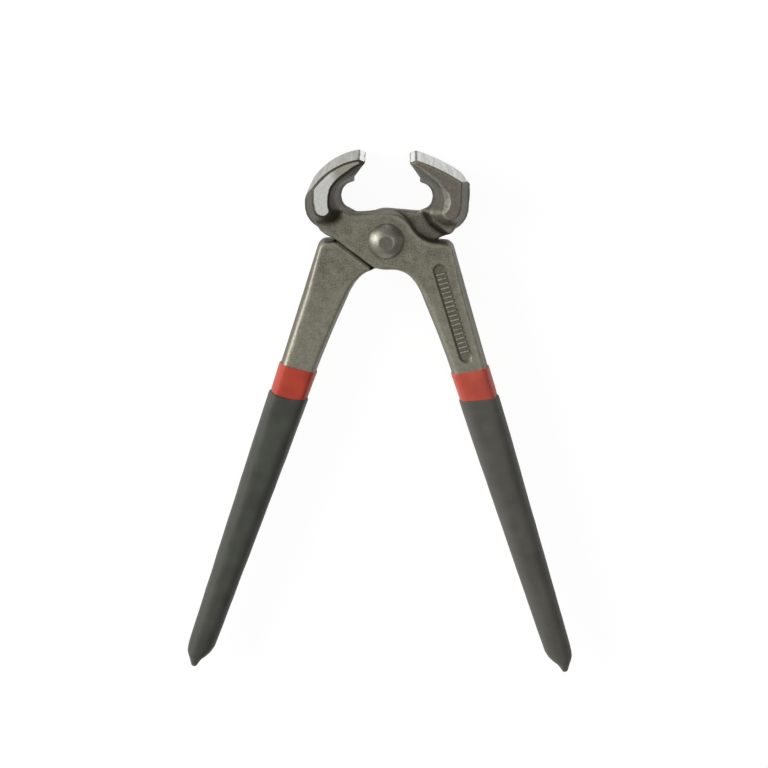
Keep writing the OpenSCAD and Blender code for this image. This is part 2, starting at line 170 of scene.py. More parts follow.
def forged_steel():
    material, tree = new_material("shot_blasted_forged_steel")
    place = add(tree, "ShaderNodeTexCoord").outputs["Object"]
    grit = add(tree, "ShaderNodeTexNoise", {
        "Vector": place, "Scale": 1 / GRIT, "Detail": 3.0, "Roughness": 0.65}).outputs["Fac"]
    blotch = add(tree, "ShaderNodeTexNoise", {
        "Vector": place, "Scale": 1 / BLOTCH, "Detail": 4.0}).outputs["Fac"]
    mottled = add(tree, "ShaderNodeMath", {0: blotch, 1: BLOTCH_SHARE, 2: grit}, operation="MULTIPLY_ADD")
    tone = add(tree, "ShaderNodeValToRGB", {"Fac": mottled.outputs[0]},
               stops=[(0.52, "#6a6658"), (0.92, "#aaa696")]).outputs["Color"]
    facing = add(tree, "ShaderNodeSeparateXYZ", {0: add(tree, "ShaderNodeNewGeometry").outputs["Normal"]})
    level = add(tree, "ShaderNodeMath", {0: facing.outputs["Z"]}, operation="ABSOLUTE").outputs[0]
    # Painted shade: a face is painted darker the steeper it stands, since steep faces take little light
    wall_shade = add(tree, "ShaderNodeMapRange", {
        "Value": level, "From Min": WALL_SLOPE[0], "From Max": WALL_SLOPE[1],
        "To Min": WALL_SHADE_SHARE, "To Max": 0.0}).outputs[0]
    handled = add(tree, "ShaderNodeMapRange", {
        "Value": add(tree, "ShaderNodeSeparateXYZ", {0: place}).outputs["Y"],
        "From Min": pivot.y - HANDLED_RUN[0] * MM, "From Max": pivot.y - HANDLED_RUN[1] * MM,
        "To Min": 0.0, "To Max": HANDLED_SHARE}).outputs[0]
    hollow, ridge, dirt_and_shade, scale = [
        add(tree, "ShaderNodeAttribute", attribute_name=name).outputs["Fac"]
        for name in ("hollow", "ridge", "dirt_and_shade", "scale")]
    worn = add(tree, "ShaderNodeMath", {0: ridge, 1: WORN_SHARE}, operation="MULTIPLY").outputs[0]
    # Painted shade in the hollows and in the corners between parts, together with the oil and dirt there
    dirt_and_shade_share = add(tree, "ShaderNodeMath", {0: hollow, 1: dirt_and_shade}, operation="MAXIMUM").outputs[0]
    for colour, share in (("#b4b0a0", handled), ("#433f35", wall_shade), ("#c4c0b2", worn),
                          ("#413b2f", scale), ("#454137", dirt_and_shade_share)):
        tone = add(tree, "ShaderNodeMix", {0: share, 6: tone, 7: linear(colour)}, data_type="RGBA").outputs[2]
    sheen = add(tree, "ShaderNodeMapRange", {
        "Value": grit, "From Min": NOISE_LOW, "From Max": NOISE_HIGH, "To Min": 0.42, "To Max": 0.6})
    pits = add(tree, "ShaderNodeTexNoise", {
        "Vector": place, "Scale": 1 / PIT, "Detail": 2.0, "Roughness": 0.6})
    pitted = add(tree, "ShaderNodeBump", {
        "Height": pits.outputs["Fac"], "Strength": 0.7, "Distance": PIT_DEPTH})
    dented = add(tree, "ShaderNodeBump", {
        "Height": grit, "Strength": 0.6, "Distance": GRIT_DEPTH, "Normal": pitted.outputs[0]})
    skin = add(tree, "ShaderNodeBsdfPrincipled", {
        "Base Color": tone, "Metallic": 0.85, "Roughness": sheen.outputs[0], "Normal": dented.outputs[0]})
    add(tree, "ShaderNodeOutputMaterial", {"Surface": skin.outputs[0]})
    return material


# %% [markdown]
# The jaws are ground after forging. A belt leaves fine parallel scratches and a brighter, smoother face,
# which the eye sees as streaks of light along the pivot. Anisotropic gloss could draw them too, but it asks
# for a direction at each point. A noise that is stretched along the pivot needs none. The bright crescent
# on the left jaw dulls towards its inner side.

# %% Ground steel
SCRATCH = 0.16 * MM
SCRATCH_DEPTH = 0.02 * MM
SCRATCH_SHARE = 0.6
SMEAR = 1.1 * MM
STRETCH = 0.05              # along the pivot the scratches are that much coarser
CRESCENT_FADE = (-13.2, -10.4)      # places across the lever, in millimetres


def ground_steel(name, low, high, roughness, dull=None):
    material, tree = new_material(name)
    place = add(tree, "ShaderNodeTexCoord").outputs["Object"]
    along = add(tree, "ShaderNodeMapping", {"Vector": place, "Scale": (1.0, 1.0, STRETCH)}).outputs[0]
    scratch = add(tree, "ShaderNodeTexNoise", {
        "Vector": along, "Scale": 1 / SCRATCH, "Detail": 2.0, "Roughness": 0.7}).outputs["Fac"]
    smear = add(tree, "ShaderNodeTexNoise", {
        "Vector": along, "Scale": 1 / SMEAR, "Detail": 3.0, "Roughness": 0.6}).outputs["Fac"]
    mottled = add(tree, "ShaderNodeMath", {0: scratch, 1: SCRATCH_SHARE, 2: smear}, operation="MULTIPLY_ADD")
    tone = add(tree, "ShaderNodeValToRGB", {"Fac": mottled.outputs[0]},
               stops=[(0.62, low), (0.98, high)]).outputs["Color"]
    if dull:
        offset = add(tree, "ShaderNodeVectorMath", {0: place, 1: pivot}, operation="SUBTRACT").outputs[0]
        across = {0: offset, 1: (math.cos(swing), math.sin(swing), 0)}
        beside = add(tree, "ShaderNodeVectorMath", across, operation="DOT_PRODUCT").outputs["Value"]
        share = add(tree, "ShaderNodeMapRange", {
            "Value": beside, "From Min": CRESCENT_FADE[0] * MM, "From Max": CRESCENT_FADE[1] * MM,
            "To Min": 0.0, "To Max": 1.0}).outputs[0]
        tone = add(tree, "ShaderNodeMix", {0: share, 6: tone, 7: linear(dull)}, data_type="RGBA").outputs[2]
    lined = add(tree, "ShaderNodeBump", {"Height": scratch, "Strength": 0.25, "Distance": SCRATCH_DEPTH})
    skin = add(tree, "ShaderNodeBsdfPrincipled", {
        "Base Color": tone, "Metallic": 0.95, "Roughness": roughness, "Normal": lined.outputs[0]})
    add(tree, "ShaderNodeOutputMaterial", {"Surface": skin.outputs[0]})
    return material


# %% [markdown]
# The rivet's heads were hammered, and the flat in the middle of each is coloured darker than the dome
# round it. Where neither shot nor belt reached, along the stop edge, the steel keeps its scale and dried oil.
# The sunk panel has the same oily scale, a little darker than the forging round it, partly as painted shade
# in the recess. The rivet and the scale could borrow the forging's material, but they answer to nothing
# stored on the mesh, so each has a shorter one with the same grit.

# %% Rivet steel and forging scale
PUNCHED_R = (2.5, 2.2)      # radii where the punch's mark begins and where it is full
PUNCHED_SHARE = 0.45
RIVET_GRIT_DEPTH = 0.045 * MM
SCALE_GRIT_DEPTH = 0.06 * MM


def hammered_steel(name, low, high):
    material, tree = new_material(name)
    place = add(tree, "ShaderNodeTexCoord").outputs["Object"]
    grit = add(tree, "ShaderNodeTexNoise", {
        "Vector": place, "Scale": 1 / GRIT, "Detail": 3.0, "Roughness": 0.6}).outputs["Fac"]
    dome = add(tree, "ShaderNodeValToRGB", {"Fac": grit}, stops=[(NOISE_LOW, low), (NOISE_HIGH, high)])
    offset = add(tree, "ShaderNodeVectorMath", {0: place, 1: pivot}, operation="SUBTRACT").outputs[0]
    beside = add(tree, "ShaderNodeVectorMath", {0: offset, 1: (1, 1, 0)}, operation="MULTIPLY").outputs[0]
    radius = add(tree, "ShaderNodeVectorMath", {0: beside}, operation="LENGTH").outputs["Value"]
    punched = add(tree, "ShaderNodeMapRange", {
        "Value": radius, "From Min": PUNCHED_R[0] * MM, "From Max": PUNCHED_R[1] * MM,
        "To Min": 0.0, "To Max": PUNCHED_SHARE}).outputs[0]
    # The flat is coloured darker than the dome round it
    tone = add(tree, "ShaderNodeMix", {
        0: punched, 6: dome.outputs["Color"], 7: linear("#4b483f")}, data_type="RGBA").outputs[2]
    sheen = add(tree, "ShaderNodeMapRange", {
        "Value": grit, "From Min": NOISE_LOW, "From Max": NOISE_HIGH, "To Min": 0.4, "To Max": 0.48})
    dented = add(tree, "ShaderNodeBump", {"Height": grit, "Strength": 0.4, "Distance": RIVET_GRIT_DEPTH})
    skin = add(tree, "ShaderNodeBsdfPrincipled", {
        "Base Color": tone, "Metallic": 0.92, "Roughness": sheen.outputs[0], "Normal": dented.outputs[0]})
    add(tree, "ShaderNodeOutputMaterial", {"Surface": skin.outputs[0]})
    return material


def scaled_steel(name, low, high):
    material, tree = new_material(name)
    place = add(tree, "ShaderNodeTexCoord").outputs["Object"]
    grit = add(tree, "ShaderNodeTexNoise", {
        "Vector": place, "Scale": 1 / GRIT, "Detail": 3.0, "Roughness": 0.65}).outputs["Fac"]
    tone = add(tree, "ShaderNodeValToRGB", {"Fac": grit}, stops=[(NOISE_LOW, low), (NOISE_HIGH, high)])
    dented = add(tree, "ShaderNodeBump", {"Height": grit, "Strength": 0.6, "Distance": SCALE_GRIT_DEPTH})
    skin = add(tree, "ShaderNodeBsdfPrincipled", {
        "Base Color": tone.outputs["Color"], "Metallic": 0.7, "Roughness": 0.5, "Normal": dented.outputs[0]})
    add(tree, "ShaderNodeOutputMaterial", {"Surface": skin.outputs[0]})
    return material


# %% [markdown]
# Dipped vinyl is soft plastic that ran and set on the handle. It is satin, with slow waves in its surface
# from the dip and a faint orange-peel grain. One flat colour would look like paint, so a slow noise moves
# the colour and the gloss together.

# %% Dipped vinyl
PEEL = 0.6 * MM
PEEL_DEPTH = 0.03 * MM
RUNS = 9 * MM


def dipped_vinyl(name, low, high, roughness, shine):
    material, tree = new_material(name)
    place = add(tree, "ShaderNodeTexCoord").outputs["Object"]
    runs = add(tree, "ShaderNodeTexNoise", {"Vector": place, "Scale": 1 / RUNS, "Detail": 3.0}).outputs["Fac"]
    peel = add(tree, "ShaderNodeTexNoise", {"Vector": place, "Scale": 1 / PEEL, "Detail": 2.0})
    tone = add(tree, "ShaderNodeValToRGB", {"Fac": runs}, stops=[(0.35, low), (0.65, high)])
    sheen = add(tree, "ShaderNodeMapRange", {
        "Value": runs, "From Min": NOISE_LOW, "From Max": NOISE_HIGH,
        "To Min": roughness - 0.05, "To Max": roughness + 0.07})
    grain = add(tree, "ShaderNodeBump", {
        "Height": peel.outputs["Fac"], "Strength": 0.2, "Distance": PEEL_DEPTH})
    skin = add(tree, "ShaderNodeBsdfPrincipled", {
        "Base Color": tone.outputs["Color"], "Roughness": sheen.outputs[0], "Specular IOR Level": shine,
        "Normal": grain.outputs[0]})
    add(tree, "ShaderNodeOutputMaterial", {"Surface": skin.outputs[0]})
    return material


# %% [markdown]
# These are the finishes of the real tool, each with its own pair of colours between which its noise wanders.
# The front lever's coats are a little paler than the rear's.

# %% Finishes
# Drop forging, shot-blasted and oiled: dull and grainy, with no clear reflection
forged = forged_steel()
# Forging scale under oil, in the sunk panel: flat and brownish, and a little darker as painted shade in the
# recess
scaled_and_shaded = scaled_steel("oily_forging_scale_and_recess_shade", "#645f53", "#918c7c")
# Oil and scale dried in the line beside the other lever: a dark, rough seam
grime = scaled_steel("dried_oil_and_scale", "#625d51", "#827c6e")
# Rivet heads, upset with a hammer and oiled: smoother, with one soft highlight
rivet_finish = hammered_steel("hammered_oiled_rivet_steel", "#8a877c", "#aeab9f")
# Cutting bevel and edge, ground last and finest, and painted nearly white as a painted highlight
fine_highlit = ground_steel("fine_ground_edge_steel_painted_highlight", "#dcdcd8", "#ffffff", 0.34)
# Left jaw: a fresh, bright side flat, and a top painted greyer as painted shade
bright = ground_steel("belt_ground_bright_steel", "#e8e9e4", "#fcfdf9", 0.5, dull="#bbb8ac")
grey_top_shaded = ground_steel("belt_ground_grey_steel_painted_shade", "#8b8982", "#b4b2aa", 0.42)
# Right jaw: a top painted light as a painted highlight, and a side flat that has browned
light_top_highlit = ground_steel("belt_ground_light_steel_painted_highlight", "#acaca7", "#e0e0dc", 0.42)
brown = ground_steel("belt_ground_brown_steel", "#7c766c", "#908a7f", 0.42)
# Bare steel polished by handling on the ribs' tops, and a painted highlight on the dab on the right jaw
rubbed_and_highlit = ground_steel("rubbed_steel_and_painted_highlight", "#918e82", "#c4c0b2", 0.45)
# Dipped vinyl, set from a bath: satin, with a soft wide highlight
red_vinyl = {
    "rear": dipped_vinyl("red_dipped_vinyl", "#b93f2e", "#c94b35", 0.5, 0.36),
    "front": dipped_vinyl("paler_red_dipped_vinyl", "#c24e41", "#d65e49", 0.52, 0.36),
}
dark_vinyl = {
    "rear": dipped_vinyl("dark_dipped_vinyl", "#464740", "#51534b", 0.58, 0.32),
    "front": dipped_vinyl("paler_dark_dipped_vinyl", "#57564f", "#63615a", 0.62, 0.32),
}
print("finishes", [material.name for material in bpy.data.materials])

# %% [markdown]
# A hammer die leaves no sharp corner. Each lever starts as a copy of its CAD solid, which is rebuilt as an
# even net of small squares and relaxed, so that every edge and corner turns soft, as a forging's are. A
# bevel could round the edges one by one, but where three or four meet it leaves a pattern that a die never
# leaves. The belt-ground faces are cut after that, so they alone stay crisp. These helpers make, join and
# cut meshes.

# %% Mesh helpers
def linked(name, mesh):
    made = bpy.data.objects.new(name, mesh)
    bpy.context.scene.collection.objects.link(made)
    return made


def mesh_of(name, made, *finishes):
    mesh = bpy.data.meshes.new(name)
    made.to_mesh(mesh)
    made.free()
    for finish in finishes:
        mesh.materials.append(finish)
    return mesh


def ring_mesh(name, rings, finish):
    """A closed skin through rings of points, one after another."""
    made = bmesh.new()
    loops = [[made.verts.new(point) for point in ring] for ring in rings]
    made.faces.new(loops[0][::-1])
    made.faces.new(loops[-1])
    for low, high in zip(loops, loops[1:]):
        for i in range(len(low)):
            j = (i + 1) % len(low)
            made.faces.new((low[i], low[j], high[j], high[i]))
    bmesh.ops.recalc_face_normals(made, faces=made.faces)
    return mesh_of(name, made, finish)


def smoothed(mesh):
    for face in mesh.polygons:
        face.use_smooth = True
    return mesh


def prism(name, outline, low, high, place, finish):
    """A straight block with that outline, in millimetres, put in place."""
    rings = [[place @ mm(x, y, z) for x, y in outline] for z in (low, high)]
    return linked(name, ring_mesh(name, rings, finish))


def baked(made):
    graph = bpy.context.evaluated_depsgraph_get()
    mesh = bpy.data.meshes.new_from_object(made.evaluated_get(graph), depsgraph=graph)
    made.modifiers.clear()
    made.data = mesh


def modified(made, kind, **settings):
    modifier = made.modifiers.new(kind.lower(), kind)
    for name, value in settings.items():
        setattr(modifier, name, value)
    baked(made)


def combined(made, tool, operation):
    modified(made, "BOOLEAN", operation=operation, object=tool, solver="EXACT", material_mode="TRANSFER")
    bpy.data.objects.remove(tool)


# %% [markdown]
# Where a surface bulges, its points lie outside the average of their neighbours, and where it is hollow
# they lie inside. Averaging many times over looks further round each point, and the distance that a point
# then moves along its normal is how far it stands out. The wear could be painted by hand, but measured like
# this it falls where a hand or a shelf would rub. The forging also has a slow unevenness of its own.

# %% Ridges, hollows and the forging's slow unevenness
SPREAD_PASSES = 26
FULL_RIDGE = 0.2 * MM
FULL_HOLLOW = 0.2 * MM
MARK_FROM = 0.15            # smaller ridges and hollows leave no mark
WAVE = 6 * MM
WAVE_HEIGHT = 0.035 * MM


def vectors_of(items, field):
    values = np.empty(len(items) * 3, np.float32)
    items.foreach_get(field, values)
    return values.reshape(-1, 3).astype(float)


def points_of(mesh):
    return vectors_of(mesh.vertices, "co")


def normals_of(mesh):
    return vectors_of(mesh.vertex_normals, "vector")


def move_points(mesh, places):
    mesh.vertices.foreach_set("co", places.astype(np.float32).ravel())
    mesh.update()


def store(mesh, name, values):
    layer = mesh.attributes.new(name, "FLOAT", "POINT")
    layer.data.foreach_set("value", np.clip(values, 0, 1).astype(np.float32))


def averaged(mesh, passes, weight=0.5):
    """The points of a mesh, each drawn towards the middle of its neighbours that many times."""
    moved = points_of(mesh)
    ends = np.empty(len(mesh.edges) * 2, np.int32)
    mesh.edges.foreach_get("vertices", ends)
    a, b = ends.reshape(-1, 2).T
    count = np.bincount(np.concatenate([a, b]), minlength=len(moved))[:, None]
    for _ in range(passes):
        total = np.stack([np.bincount(a, moved[b, k], len(moved)) + np.bincount(b, moved[a, k], len(moved))
                          for k in range(3)], axis=1)
        moved = (1 - weight) * moved + weight * total / count
    return moved


def mark_ridges(mesh, open_share):
    out = ((points_of(mesh) - averaged(mesh, SPREAD_PASSES)) * normals_of(mesh)).sum(axis=1)
    store(mesh, "ridge", out / FULL_RIDGE * open_share - MARK_FROM)
    store(mesh, "hollow", -out / FULL_HOLLOW - MARK_FROM)


def roughen(mesh):
    places = points_of(mesh)
    lift = np.array([noise.fractal(Vector(p) / WAVE, 1.0, 2.0, 3) for p in places])
    move_points(mesh, places + normals_of(mesh) * (lift * WAVE_HEIGHT)[:, None])


# %% [markdown]
# Oil and dirt stay where a rag can't reach, and the same corners lie in shade, so both are painted there
# as one darkening: dirt and painted shade. From each point of a lever a few rays look out in a fixed
# pattern, and the more of them that meet steel close by, the darker the point is painted. A shader could
# look for corners too, but its darkening would change as the tool opens. The jaws also kept their dark
# scale: beside the ground flats, above the joint's own thickness, and on the outer side of the neck.

# %% Painted shade and dirt in the corners, and scale on the jaw
LOOK_COUNT = 12
LOOK_FROM = 0.35 * MM
LOOK_FAR = 5 * MM
LOOK_ROUND = 34 * MM
GOLDEN_TURN = math.pi * (3 - math.sqrt(5))
# how strongly the painted shade and dirt darken a point, and the share of hits below which none is painted
DIRT_SHADE_GAIN = 1.4
DIRT_SHADE_FROM = 0.16
JOINT_HALF = 5.5            # half the thickness of the joint
SCALE_SHARE = {"front": 0.9, "rear": 0.6}
SCALE_FROM = 0.2            # above the joint's half thickness, with full scale over the run
SCALE_RUN = 1.2
FLANK_BESIDE = 14           # the flank begins that far beside and above the pivot
FLANK_ABOVE = 8
FLANK_RUN = 4


def solid_tree(names):
    points, faces = [], []
    for name in names:
        node, start = frame["nodes"][name], len(points)
        points += [v.co.copy() for v in node.data.vertices]
        faces += [[start + i for i in face.vertices] for face in node.data.polygons]
    return BVHTree.FromPolygons(points, faces)


def look_directions(normals):
    """A cosine-weighted fan of directions round each normal."""
    share = (np.arange(LOOK_COUNT) + 0.5) / LOOK_COUNT
    turn = np.arange(LOOK_COUNT) * GOLDEN_TURN
    out = np.sqrt(share)
    fan = np.stack([out * np.cos(turn), out * np.sin(turn), np.sqrt(1 - share)], axis=1)
    side = np.cross(normals, np.where(np.abs(normals[:, :1]) < 0.6, [[1.0, 0, 0]], [[0, 1.0, 0]]))
    side /= np.linalg.norm(side, axis=1, keepdims=True)
    across = np.cross(normals, side)
    return np.einsum("kc,cnx->nkx", fan, np.stack([side, across, normals]))


# Painted shade with dirt: the more rays meet steel close by, the darker the point is painted
def mark_dirt_and_shade(mesh, places, normals):
    near = np.nonzero(np.linalg.norm(places - np.array(pivot), axis=1) < LOOK_ROUND)[0]
    tree = solid_tree(frame["nodes"])
    dirt_and_shade = np.zeros(len(places))
    starts = places + normals * LOOK_FROM
    fans = look_directions(normals[near])
    for row, i in enumerate(near):
        start = Vector(starts[i])
        for way in fans[row]:
            hit = tree.ray_cast(start, Vector(way), LOOK_FAR)
            if hit[0] is not None:
                dirt_and_shade[i] += (1 - hit[3] / LOOK_FAR) / LOOK_COUNT
    store(mesh, "dirt_and_shade", dirt_and_shade * DIRT_SHADE_GAIN - DIRT_SHADE_FROM)
    print("dirt looked up for", len(near), "points")


def mark_scale(mesh, body, places, normals):
    to_local = np.array(PLACE[body].inverted())
    beside, above, height = [(places @ to_local[k, :3] + to_local[k, 3]) / MM for k in range(3)]
    outward = np.clip(-2 * normals @ to_local[0, :3], 0, 1)
    flank = np.clip((-beside - FLANK_BESIDE) / FLANK_RUN, 0, 1)
    flank = flank * np.clip((above - FLANK_ABOVE) / FLANK_RUN, 0, 1) * outward
    scale = np.clip((np.abs(height) - JOINT_HALF - SCALE_FROM) / SCALE_RUN, 0, 1)
    if body == "rear":
        scale *= outward
    store(mesh, "scale", np.maximum(scale, flank) * SCALE_SHARE[body])


# %% [markdown]
# The sunk panel in the handle's face is finer than the net, so it is filled before the net is made and
# pressed in again afterwards, with sloping walls as a die leaves them.

# %% Sunk panel
PANEL_LEN = 36.5
PANEL_W = 4.6
PANEL_DEPTH = 0.7
PANEL_X = 16.5
PANEL_DROP = 30.3
PANEL_LEAN = math.radians(3.4)
# How far inside the panel's outline its wall is, and at what height, from the floor up past the face
PANEL_WALL = [
    (0.75, -PANEL_DEPTH), (0.55, 0.06 - PANEL_DEPTH), (0.32, 0.24 - PANEL_DEPTH), (0.12, -0.22),
    (-0.12, -0.05), (-0.35, 0.02), (-0.5, 0.3), (-0.5, 3.0),
]
THIN_FROM = 25.0            # depth where the handle begins to thin
STEEL_END = 162.2           # depth where the steel ends inside the grip
END_HALF = 3.9              # half the steel's thickness there
FACE_SLOPE = math.atan((JOINT_HALF - END_HALF) / (STEEL_END - THIN_FROM))


def half_t(depth):
    return JOINT_HALF - math.tan(FACE_SLOPE) * max(0.0, depth - THIN_FROM)


PANEL = (
    Matrix.Translation(mm(PANEL_X, -PANEL_DROP, half_t(PANEL_DROP)))
    @ Matrix.Rotation(FACE_SLOPE, 4, "X")
    @ Matrix.Rotation(PANEL_LEAN, 4, "Z")
)


def stadium(inset, steps=12):
    r, run = PANEL_W / 2 - inset, (PANEL_LEN - PANEL_W) / 2
    turns = [math.pi * i / steps for i in range(steps + 1)]
    upper = [(r * math.cos(t), run + r * math.sin(t)) for t in turns]
    return upper + [(-x, -y) for x, y in upper]


def panel_cutter(body):
    place = PLACE[body] @ PANEL
    rings = [[place @ mm(x, y, z) for x, y in stadium(inset)] for inset, z in PANEL_WALL]
    # The panel's walls and floor take this finish, whose darker tone is partly painted shade in the recess
    return linked("panel_cutter", ring_mesh("panel_cutter", rings, scaled_and_shaded))


# %% [markdown]
# The net is drawn together most along the handles, less on the head, and least beside the other lever, so
# that the line where the levers meet stays narrow.

# %% Softened forging
WELD = 0.002 * MM
NET = 0.4 * MM
RELAX_PASSES = 40
FIRM_WEIGHT = 0.03
HEAD_WEIGHT = 0.125
HANDLE_WEIGHT = 0.38
HANDLE_FROM = 16.0
HANDLE_RUN = 10.0
FIRM_NEAR = 1.2 * MM
FIRM_PART = 0.4             # nearer than this part of it, a point counts as beside the other lever
OTHER = {"front": "rear", "rear": "front"}


def relax(mesh, body):
    """Rounds the net, and gives each point's share of open space."""
    places = points_of(mesh)
    tree = solid_tree([OTHER[body] + "_lever"])
    found = [tree.find_nearest(Vector(p), 2 * FIRM_NEAR)[3] for p in places]
    gaps = np.array([2 * FIRM_NEAR if gap is None else gap for gap in found])
    open_share = np.clip(gaps / FIRM_NEAR - FIRM_PART, 0, 1)
    to_local = np.array(PLACE[body].inverted())
    depth = -(places @ to_local[1, :3] + to_local[1, 3]) / MM
    full = HEAD_WEIGHT + (HANDLE_WEIGHT - HEAD_WEIGHT) * np.clip((depth - HANDLE_FROM) / HANDLE_RUN, 0, 1)
    weight = FIRM_WEIGHT + (full - FIRM_WEIGHT) * open_share
    move_points(mesh, averaged(mesh, RELAX_PASSES, weight[:, None]))
    return open_share


def soft_forging(body):
    source = bmesh.new()
    source.from_mesh(frame["nodes"][body + "_lever"].data)
    bmesh.ops.remove_doubles(source, verts=source.verts, dist=WELD)
    name = body + "_lever_skin"
    made = linked(name, mesh_of(name, source))
    combined(made, prism("plug", stadium(0.0), -PANEL_DEPTH, 0.0, PLACE[body] @ PANEL, forged), "UNION")
    modified(made, "REMESH", mode="VOXEL", voxel_size=NET)
    mesh = made.data
    open_share = relax(mesh, body)
    mesh.materials.clear()
    mesh.materials.append(forged)
    mark_ridges(mesh, open_share)
    places, normals = points_of(mesh), normals_of(mesh)
    normals /= np.linalg.norm(normals, axis=1, keepdims=True)
    mark_dirt_and_shade(mesh, places, normals)
    mark_scale(mesh, body, places, normals)
    roughen(mesh)
    return made


# %% [markdown]
# A belt takes a hair off each jaw: over the top, in the round outline that the hand gave it, and flat on
# both sides. The front jaw's top is rounder than the rear one's. The faces could be flattened point by point,
# but cutting with a block gives them a crisp rim, and the block's own finish goes over to the cut.

# %% Ground faces of the jaws
JAW_W = 23.0
HEAD = 31.0                 # from the pivot to the top of the jaw
EDGE = (-0.05, 29.4)        # the cutting edge, and then the bevel's other corner, across and up
BEVEL_CORNER = (-2.15, 31.0)
INNER_W = 5.3               # width of the edge's inner face
INNER_SLOPE = math.radians(44.4)
NOTCH_FOOT_SHARE = (0.1, 0.36)      # of that face's width: how far in and down the cut goes on
GRIND_DEPTH = 0.07
BEYOND = 12.0               # how far a cutter reaches past the steel
ARC_STEPS = 48
GRIND = {"front": (24.0, -5.0, 80.0), "rear": (60.0, 2.0, 30.0)}     # radius, lean and sweep of the top


def belt_cutter(body, finish):
    """Everything outside the ground outline of a jaw."""
    radius, lean, sweep = GRIND[body]
    top = math.radians(90 + lean)
    x, y = BEVEL_CORNER[0] - radius * math.cos(top), BEVEL_CORNER[1] - radius * math.sin(top)
    turns = [math.radians(90 + lean + sweep * i / ARC_STEPS) for i in range(ARC_STEPS + 1)]
    reach = radius - GRIND_DEPTH
    outline = [(x + reach * math.cos(a), y + reach * math.sin(a)) for a in turns]
    edge = (EDGE[0] - GRIND_DEPTH, EDGE[1])
    notch = (edge[0] - INNER_W, edge[1] - INNER_W * math.tan(INNER_SLOPE))
    foot = (notch[0] - INNER_W * NOTCH_FOOT_SHARE[0], notch[1] - INNER_W * NOTCH_FOOT_SHARE[1])
    left, above = outline[-1][0] - BEYOND, HEAD + BEYOND
    outline += [(left, outline[-1][1]), (left, above), (BEYOND, above), (BEYOND, foot[1]), foot, notch, edge]
    return prism("belt", outline, -JAW_W, JAW_W, PLACE[body], finish)


def flat_cutter(body, side, finish):
    """A block that trims one side flat of a jaw."""
    near, far = JAW_W / 2 - GRIND_DEPTH, JAW_W / 2 + BEYOND
    outline = [(-HEAD, 0.0), (BEYOND, 0.0), (BEYOND, HEAD + BEYOND), (-HEAD, HEAD + BEYOND)]
    low, high = (near, far) if side > 0 else (-far, -near)
    return prism("flat", outline, low, high, PLACE[body], finish)


def whiten_bevel(made, body, top_finish):
    """The cutting bevel and the edge's inner face are ground last and finest, and painted nearly white as a
    painted highlight.
    """
    mesh, back = made.data, PLACE[body].inverted()
    last = len(mesh.materials)
    mesh.materials.append(fine_highlit)
    for face in mesh.polygons:
        if mesh.materials[face.material_index] == top_finish:
            spot = back @ face.center
            if spot.x > BEVEL_CORNER[0] * MM and spot.y > EDGE[1] * MM:
                face.material_index = last


# %% [markdown]
# The rear jaw's side was touched with a wheel, which left a shallow round dab. Its bright steel is a painted
# highlight, where the dab turns to the light. In the narrow line beside the other lever's plate, oil and
# scale have dried along the stop edge. A ball cuts the dab. The grime could be a colour on the steel alone,
# but as a thin bar joined to it, it fills the line as the real one does.

# %% Wheel dab and lap grime
SCOOP_R = 20.0
SCOOP_AT = (-11.9, 18.9, -30.58)
STOP_SLOPE = math.radians(22.8)
STOP_R = 11.1               # the stop edge's distance from the pivot
GRIME_SINK = 0.25           # depths of the grime's top and foot under the joint's face
GRIME_FOOT = 1.3
GRIME_REACH = (0.64, 0.36)  # how far it stands out from the stop edge, at its top and its foot
GRIME_BOND = 0.25
GRIME_RUN = (-1.4, 13.2)    # from where to where it runs along the edge


def scoop(body):
    made = bmesh.new()
    bmesh.ops.create_icosphere(made, subdivisions=6, radius=SCOOP_R * MM)
    bmesh.ops.transform(made, matrix=PLACE[body] @ Matrix.Translation(mm(*SCOOP_AT)), verts=made.verts)
    # The dab's bright steel is a painted highlight, where it turns to the light on the left
    return linked("scoop", mesh_of("scoop", made, rubbed_and_highlit))


def lap_grime(body):
    cos, sin = math.cos(STOP_SLOPE), math.sin(STOP_SLOPE)
    along = Matrix(((sin, 0, cos, 0), (-cos, 0, sin, 0), (0, 1, 0, 0), (0, 0, 0, 1)))
    top, foot = GRIME_SINK - JOINT_HALF, GRIME_FOOT - JOINT_HALF
    outline = [(STOP_R - GRIME_REACH[0], top), (STOP_R + GRIME_BOND, top), (STOP_R + GRIME_BOND, foot),
               (STOP_R - GRIME_REACH[1], foot), (STOP_R - GRIME_REACH[1], (top + foot) / 2)]
    return prism("lap_grime", outline, *GRIME_RUN, PLACE[body] @ along, grime)


# %% [markdown]
# Each lever is softened first, then ground, then given its bevel, its grime and its panel. The forged skin,
# the grime and the panel are shaded smooth. What was ground stays flat.

# %% The two levers
def lever_skin(body, top_finish, flat_finish):
    made = soft_forging(body)
    combined(made, belt_cutter(body, top_finish), "DIFFERENCE")
    for side in (-1, 1):
        combined(made, flat_cutter(body, side, flat_finish), "DIFFERENCE")
    if body == "rear":
        combined(made, scoop(body), "DIFFERENCE")
    whiten_bevel(made, body, top_finish)
    combined(made, lap_grime(body), "UNION")
    combined(made, panel_cutter(body), "DIFFERENCE")
    finishes = made.data.materials
    for face in made.data.polygons:
        face.use_smooth = finishes[face.material_index] in (forged, scaled_and_shaded, grime)
    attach(made, body)
    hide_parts(body + "_lever")
    print(made.name, len(made.data.vertices), "points", [finish.name for finish in finishes])


# The front jaw's top is painted greyer as painted shade, the rear jaw's top lighter as a painted highlight
lever_skin("front", grey_top_shaded, bright)
lever_skin("rear", light_top_highlit, brown)

# %% [markdown]
# A row of short raised ribs fills the panel. One rib is a small rounded bar, and a Geometry Nodes tree
# sets copies of it in a line, with the count and the pitch as inputs. Eighteen bars could be written out, but
# a row that follows two numbers is quicker to fit to the panel. They are made real for the export.

